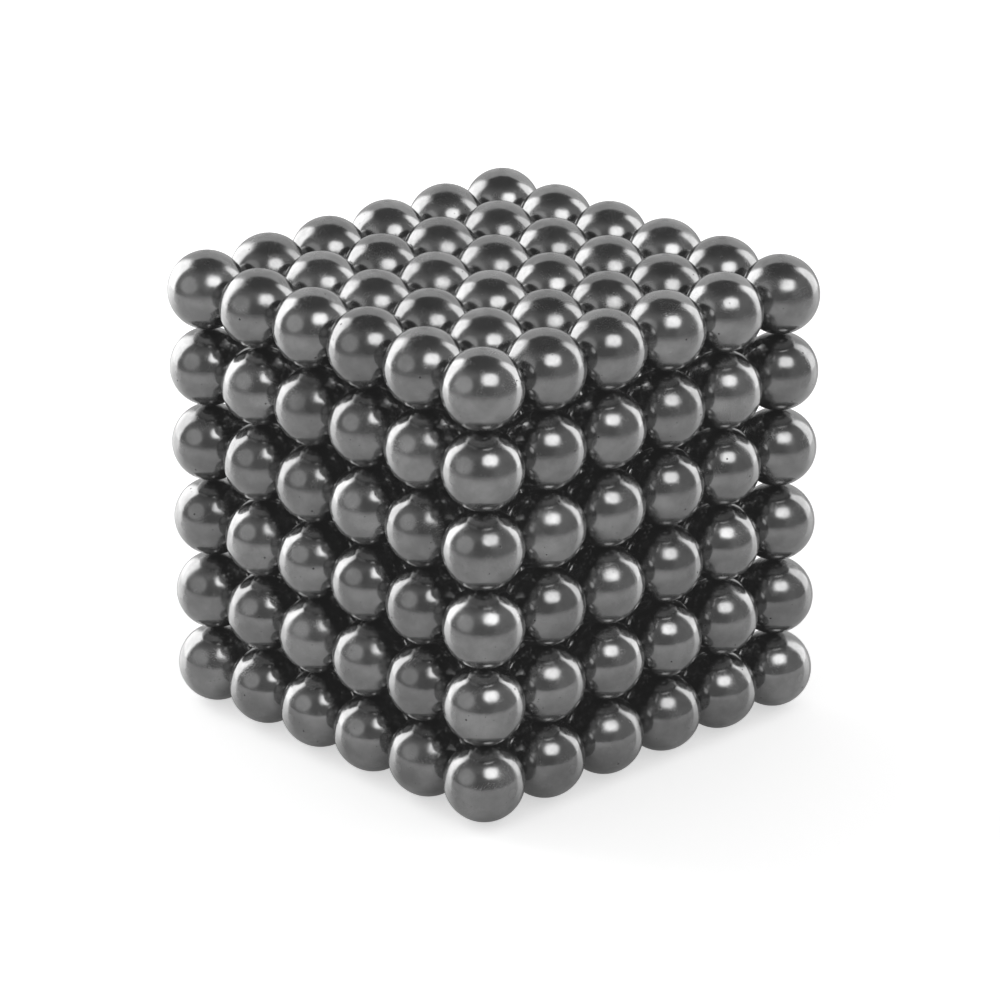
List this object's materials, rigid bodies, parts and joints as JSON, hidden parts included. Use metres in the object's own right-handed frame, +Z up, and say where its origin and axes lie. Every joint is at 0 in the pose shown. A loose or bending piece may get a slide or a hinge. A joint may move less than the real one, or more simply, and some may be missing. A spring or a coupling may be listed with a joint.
{
  "type": "magnet ball cube",
  "caption": "Free-standing cube of loose polished magnet balls in square packing, whose layers twist, rows slide, top sheet curls and corner balls roll.",
  "frame": {"origin": "centre of the square footprint, on the resting plane that the bottom layer's lowest points touch", "axes": "+Z up; rows run along X; row 1 of each layer is at the front, towards -Y, and row 6 at the back, towards +Y"},
  "size_m": [0.03, 0.03, 0.03],
  "materials": {
    "black_nickel": "polished black nickel plating"
  },
  "bodies": {
    "layer_1_row_1": {"layer_1_row_1": "black_nickel"},
    "layer_1_row_2": {"layer_1_row_2": "black_nickel"},
    "layer_1_row_3": {"layer_1_row_3": "black_nickel"},
    "layer_1_row_4": {"layer_1_row_4": "black_nickel"},
    "layer_1_row_5": {"layer_1_row_5": "black_nickel"},
    "layer_1_row_6": {"layer_1_row_6": "black_nickel"},
    "layer_1_corner_front_left": {"layer_1_corner_front_left": "black_nickel"},
    "layer_1_corner_front_right": {"layer_1_corner_front_right": "black_nickel"},
    "layer_1_corner_back_left": {"layer_1_corner_back_left": "black_nickel"},
    "layer_1_corner_back_right": {"layer_1_corner_back_right": "black_nickel"},
    "layer_2_row_1": {"layer_2_row_1": "black_nickel"},
    "layer_2_row_2": {"layer_2_row_2": "black_nickel"},
    "layer_2_row_3": {"layer_2_row_3": "black_nickel"},
    "layer_2_row_4": {"layer_2_row_4": "black_nickel"},
    "layer_2_row_5": {"layer_2_row_5": "black_nickel"},
    "layer_2_row_6": {"layer_2_row_6": "black_nickel"},
    "layer_2_corner_front_left": {"layer_2_corner_front_left": "black_nickel"},
    "layer_2_corner_front_right": {"layer_2_corner_front_right": "black_nickel"},
    "layer_2_corner_back_left": {"layer_2_corner_back_left": "black_nickel"},
    "layer_2_corner_back_right": {"layer_2_corner_back_right": "black_nickel"},
    "layer_3_row_1": {"layer_3_row_1": "black_nickel"},
    "layer_3_row_2": {"layer_3_row_2": "black_nickel"},
    "layer_3_row_3": {"layer_3_row_3": "black_nickel"},
    "layer_3_row_4": {"layer_3_row_4": "black_nickel"},
    "layer_3_row_5": {"layer_3_row_5": "black_nickel"},
    "layer_3_row_6": {"layer_3_row_6": "black_nickel"},
    "layer_3_corner_front_left": {"layer_3_corner_front_left": "black_nickel"},
    "layer_3_corner_front_right": {"layer_3_corner_front_right": "black_nickel"},
    "layer_3_corner_back_left": {"layer_3_corner_back_left": "black_nickel"},
    "layer_3_corner_back_right": {"layer_3_corner_back_right": "black_nickel"},
    "layer_4_row_1": {"layer_4_row_1": "black_nickel"},
    "layer_4_row_2": {"layer_4_row_2": "black_nickel"},
    "layer_4_row_3": {"layer_4_row_3": "black_nickel"},
    "layer_4_row_4": {"layer_4_row_4": "black_nickel"},
    "layer_4_row_5": {"layer_4_row_5": "black_nickel"},
    "layer_4_row_6": {"layer_4_row_6": "black_nickel"},
    "layer_4_corner_front_left": {"layer_4_corner_front_left": "black_nickel"},
    "layer_4_corner_front_right": {"layer_4_corner_front_right": "black_nickel"},
    "layer_4_corner_back_left": {"layer_4_corner_back_left": "black_nickel"},
    "layer_4_corner_back_right": {"layer_4_corner_back_right": "black_nickel"},
    "layer_5_row_1": {"layer_5_row_1": "black_nickel"},
    "layer_5_row_2": {"layer_5_row_2": "black_nickel"},
    "layer_5_row_3": {"layer_5_row_3": "black_nickel"},
    "layer_5_row_4": {"layer_5_row_4": "black_nickel"},
    "layer_5_row_5": {"layer_5_row_5": "black_nickel"},
    "layer_5_row_6": {"layer_5_row_6": "black_nickel"},
    "layer_5_corner_front_left": {"layer_5_corner_front_left": "black_nickel"},
    "layer_5_corner_front_right": {"layer_5_corner_front_right": "black_nickel"},
    "layer_5_corner_back_left": {"layer_5_corner_back_left": "black_nickel"},
    "layer_5_corner_back_right": {"layer_5_corner_back_right": "black_nickel"},
    "layer_6_row_1": {"layer_6_row_1": "black_nickel"},
    "layer_6_row_2": {"layer_6_row_2": "black_nickel"},
    "layer_6_row_3": {"layer_6_row_3": "black_nickel"},
    "layer_6_row_4": {"layer_6_row_4": "black_nickel"},
    "layer_6_row_5": {"layer_6_row_5": "black_nickel"},
    "layer_6_row_6": {"layer_6_row_6": "black_nickel"}
  },
  "joints": [
    {"name": "layer_twist_2", "type": "hinge", "parent": "layer_1_row_3", "child": "layer_2_row_3", "pos_m": [0, 0, 0.00498], "axis": [0, 0, 1], "continuous": true},
    {"name": "layer_twist_3", "type": "hinge", "parent": "layer_2_row_3", "child": "layer_3_row_3", "pos_m": [0, 0, 0.00999], "axis": [0, 0, 1], "continuous": true},
    {"name": "layer_twist_4", "type": "hinge", "parent": "layer_3_row_3", "child": "layer_4_row_3", "pos_m": [0, 0, 0.01499], "axis": [0, 0, 1], "continuous": true},
    {"name": "layer_twist_5", "type": "hinge", "parent": "layer_4_row_3", "child": "layer_5_row_3", "pos_m": [0, 0, 0.01998], "axis": [0, 0, 1], "continuous": true},
    {"name": "layer_twist_6", "type": "hinge", "parent": "layer_5_row_3", "child": "layer_6_row_1", "pos_m": [0, 0, 0.02499], "axis": [0, 0, 1], "continuous": true},
    {"name": "row_lift_2", "type": "hinge", "parent": "layer_6_row_1", "child": "layer_6_row_2", "pos_m": [0, -0.0125, 0.02748], "axis": [1, 0, 0], "range_deg": [0, 60]},
    {"name": "row_lift_3", "type": "hinge", "parent": "layer_6_row_2", "child": "layer_6_row_3", "pos_m": [0, -0.0075, 0.02748], "axis": [1, 0, 0], "range_deg": [0, 60]},
    {"name": "row_lift_4", "type": "hinge", "parent": "layer_6_row_3", "child": "layer_6_row_4", "pos_m": [0, -0.0025, 0.02748], "axis": [1, 0, 0], "range_deg": [0, 60]},
    {"name": "row_lift_5", "type": "hinge", "parent": "layer_6_row_4", "child": "layer_6_row_5", "pos_m": [0, 0.0025, 0.02748], "axis": [1, 0, 0], "range_deg": [0, 60]},
    {"name": "row_lift_6", "type": "hinge", "parent": "layer_6_row_5", "child": "layer_6_row_6", "pos_m": [0, 0.0075, 0.02748], "axis": [1, 0, 0], "range_deg": [0, 60]},
    {"name": "row_push_5_1", "type": "slide", "parent": "layer_5_row_3", "child": "layer_5_row_1", "axis": [1, 0, 0], "range_m": [-0.025, 0.025]},
    {"name": "row_push_5_2", "type": "slide", "parent": "layer_5_row_3", "child": "layer_5_row_2", "axis": [-1, 0, 0], "range_m": [-0.025, 0.025]},
    {"name": "row_push_5_4", "type": "slide", "parent": "layer_5_row_3", "child": "layer_5_row_4", "axis": [-1, 0, 0], "range_m": [-0.025, 0.025]},
    {"name": "row_push_5_5", "type": "slide", "parent": "layer_5_row_3", "child": "layer_5_row_5", "axis": [1, 0, 0], "range_m": [-0.025, 0.025]},
    {"name": "row_push_5_6", "type": "slide", "parent": "layer_5_row_3", "child": "layer_5_row_6", "axis": [-1, 0, 0], "range_m": [-0.025, 0.025]},
    {"name": "tip_roll_5_front_left", "type": "hinge", "parent": "layer_5_row_1", "child": "layer_5_corner_front_left", "pos_m": [-0.0075, -0.0125, 0.02249], "axis": [0, 0, 1], "range_deg": [0, 120]},
    {"name": "tip_roll_5_front_right", "type": "hinge", "parent": "layer_5_row_1", "child": "layer_5_corner_front_right", "pos_m": [0.0075, -0.0125, 0.02249], "axis": [0, 0, -1], "range_deg": [0, 120]},
    {"name": "tip_roll_5_back_left", "type": "hinge", "parent": "layer_5_row_6", "child": "layer_5_corner_back_left", "pos_m": [-0.0075, 0.0125, 0.02249], "axis": [0, 0, -1], "range_deg": [0, 120]},
    {"name": "tip_roll_5_back_right", "type": "hinge", "parent": "layer_5_row_6", "child": "layer_5_corner_back_right", "pos_m": [0.0075, 0.0125, 0.02249], "axis": [0, 0, 1], "range_deg": [0, 120]},
    {"name": "row_push_4_1", "type": "slide", "parent": "layer_4_row_3", "child": "layer_4_row_1", "axis": [-1, 0, 0], "range_m": [-0.025, 0.025]},
    {"name": "row_push_4_2", "type": "slide", "parent": "layer_4_row_3", "child": "layer_4_row_2", "axis": [1, 0, 0], "range_m": [-0.025, 0.025]},
    {"name": "row_push_4_4", "type": "slide", "parent": "layer_4_row_3", "child": "layer_4_row_4", "axis": [1, 0, 0], "range_m": [-0.025, 0.025]},
    {"name": "row_push_4_5", "type": "slide", "parent": "layer_4_row_3", "child": "layer_4_row_5", "axis": [-1, 0, 0], "range_m": [-0.025, 0.025]},
    {"name": "row_push_4_6", "type": "slide", "parent": "layer_4_row_3", "child": "layer_4_row_6", "axis": [1, 0, 0], "range_m": [-0.025, 0.025]},
    {"name": "tip_roll_4_front_left", "type": "hinge", "parent": "layer_4_row_1", "child": "layer_4_corner_front_left", "pos_m": [-0.0075, -0.0125, 0.01749], "axis": [0, 0, 1], "range_deg": [0, 120]},
    {"name": "tip_roll_4_front_right", "type": "hinge", "parent": "layer_4_row_1", "child": "layer_4_corner_front_right", "pos_m": [0.0075, -0.0125, 0.01749], "axis": [0, 0, -1], "range_deg": [0, 120]},
    {"name": "tip_roll_4_back_left", "type": "hinge", "parent": "layer_4_row_6", "child": "layer_4_corner_back_left", "pos_m": [-0.0075, 0.0125, 0.01749], "axis": [0, 0, -1], "range_deg": [0, 120]},
    {"name": "tip_roll_4_back_right", "type": "hinge", "parent": "layer_4_row_6", "child": "layer_4_corner_back_right", "pos_m": [0.0075, 0.0125, 0.01749], "axis": [0, 0, 1], "range_deg": [0, 120]},
    {"name": "row_push_3_1", "type": "slide", "parent": "layer_3_row_3", "child": "layer_3_row_1", "axis": [1, 0, 0], "range_m": [-0.025, 0.025]},
    {"name": "row_push_3_2", "type": "slide", "parent": "layer_3_row_3", "child": "layer_3_row_2", "axis": [-1, 0, 0], "range_m": [-0.025, 0.025]},
    {"name": "row_push_3_4", "type": "slide", "parent": "layer_3_row_3", "child": "layer_3_row_4", "axis": [-1, 0, 0], "range_m": [-0.025, 0.025]},
    {"name": "row_push_3_5", "type": "slide", "parent": "layer_3_row_3", "child": "layer_3_row_5", "axis": [1, 0, 0], "range_m": [-0.025, 0.025]},
    {"name": "row_push_3_6", "type": "slide", "parent": "layer_3_row_3", "child": "layer_3_row_6", "axis": [-1, 0, 0], "range_m": [-0.025, 0.025]},
    {"name": "tip_roll_3_front_left", "type": "hinge", "parent": "layer_3_row_1", "child": "layer_3_corner_front_left", "pos_m": [-0.0075, -0.0125, 0.01248], "axis": [0, 0, 1], "range_deg": [0, 120]},
    {"name": "tip_roll_3_front_right", "type": "hinge", "parent": "layer_3_row_1", "child": "layer_3_corner_front_right", "pos_m": [0.0075, -0.0125, 0.01248], "axis": [0, 0, -1], "range_deg": [0, 120]},
    {"name": "tip_roll_3_back_left", "type": "hinge", "parent": "layer_3_row_6", "child": "layer_3_corner_back_left", "pos_m": [-0.0075, 0.0125, 0.01248], "axis": [0, 0, -1], "range_deg": [0, 120]},
    {"name": "tip_roll_3_back_right", "type": "hinge", "parent": "layer_3_row_6", "child": "layer_3_corner_back_right", "pos_m": [0.0075, 0.0125, 0.01248], "axis": [0, 0, 1], "range_deg": [0, 120]},
    {"name": "row_push_2_1", "type": "slide", "parent": "layer_2_row_3", "child": "layer_2_row_1", "axis": [-1, 0, 0], "range_m": [-0.025, 0.025]},
    {"name": "row_push_2_2", "type": "slide", "parent": "layer_2_row_3", "child": "layer_2_row_2", "axis": [1, 0, 0], "range_m": [-0.025, 0.025]},
    {"name": "row_push_2_4", "type": "slide", "parent": "layer_2_row_3", "child": "layer_2_row_4", "axis": [1, 0, 0], "range_m": [-0.025, 0.025]},
    {"name": "row_push_2_5", "type": "slide", "parent": "layer_2_row_3", "child": "layer_2_row_5", "axis": [-1, 0, 0], "range_m": [-0.025, 0.025]},
    {"name": "row_push_2_6", "type": "slide", "parent": "layer_2_row_3", "child": "layer_2_row_6", "axis": [1, 0, 0], "range_m": [-0.025, 0.025]},
    {"name": "tip_roll_2_front_left", "type": "hinge", "parent": "layer_2_row_1", "child": "layer_2_corner_front_left", "pos_m": [-0.0075, -0.0125, 0.00749], "axis": [0, 0, 1], "range_deg": [0, 120]},
    {"name": "tip_roll_2_front_right", "type": "hinge", "parent": "layer_2_row_1", "child": "layer_2_corner_front_right", "pos_m": [0.0075, -0.0125, 0.00749], "axis": [0, 0, -1], "range_deg": [0, 120]},
    {"name": "tip_roll_2_back_left", "type": "hinge", "parent": "layer_2_row_6", "child": "layer_2_corner_back_left", "pos_m": [-0.0075, 0.0125, 0.00749], "axis": [0, 0, -1], "range_deg": [0, 120]},
    {"name": "tip_roll_2_back_right", "type": "hinge", "parent": "layer_2_row_6", "child": "layer_2_corner_back_right", "pos_m": [0.0075, 0.0125, 0.00749], "axis": [0, 0, 1], "range_deg": [0, 120]},
    {"name": "row_push_1_1", "type": "slide", "parent": "layer_1_row_3", "child": "layer_1_row_1", "axis": [1, 0, 0], "range_m": [-0.025, 0.025]},
    {"name": "row_push_1_2", "type": "slide", "parent": "layer_1_row_3", "child": "layer_1_row_2", "axis": [-1, 0, 0], "range_m": [-0.025, 0.025]},
    {"name": "row_push_1_4", "type": "slide", "parent": "layer_1_row_3", "child": "layer_1_row_4", "axis": [-1, 0, 0], "range_m": [-0.025, 0.025]},
    {"name": "row_push_1_5", "type": "slide", "parent": "layer_1_row_3", "child": "layer_1_row_5", "axis": [1, 0, 0], "range_m": [-0.025, 0.025]},
    {"name": "row_push_1_6", "type": "slide", "parent": "layer_1_row_3", "child": "layer_1_row_6", "axis": [-1, 0, 0], "range_m": [-0.025, 0.025]},
    {"name": "tip_roll_1_front_left", "type": "hinge", "parent": "layer_1_row_1", "child": "layer_1_corner_front_left", "pos_m": [-0.0075, -0.0125, 0.00248], "axis": [0, 0, 1], "range_deg": [0, 120]},
    {"name": "tip_roll_1_front_right", "type": "hinge", "parent": "layer_1_row_1", "child": "layer_1_corner_front_right", "pos_m": [0.0075, -0.0125, 0.00248], "axis": [0, 0, -1], "range_deg": [0, 120]},
    {"name": "tip_roll_1_back_left", "type": "hinge", "parent": "layer_1_row_6", "child": "layer_1_corner_back_left", "pos_m": [-0.0075, 0.0125, 0.00248], "axis": [0, 0, -1], "range_deg": [0, 120]},
    {"name": "tip_roll_1_back_right", "type": "hinge", "parent": "layer_1_row_6", "child": "layer_1_corner_back_right", "pos_m": [0.0075, 0.0125, 0.00248], "axis": [0, 0, 1], "range_deg": [0, 120]}
  ]
}
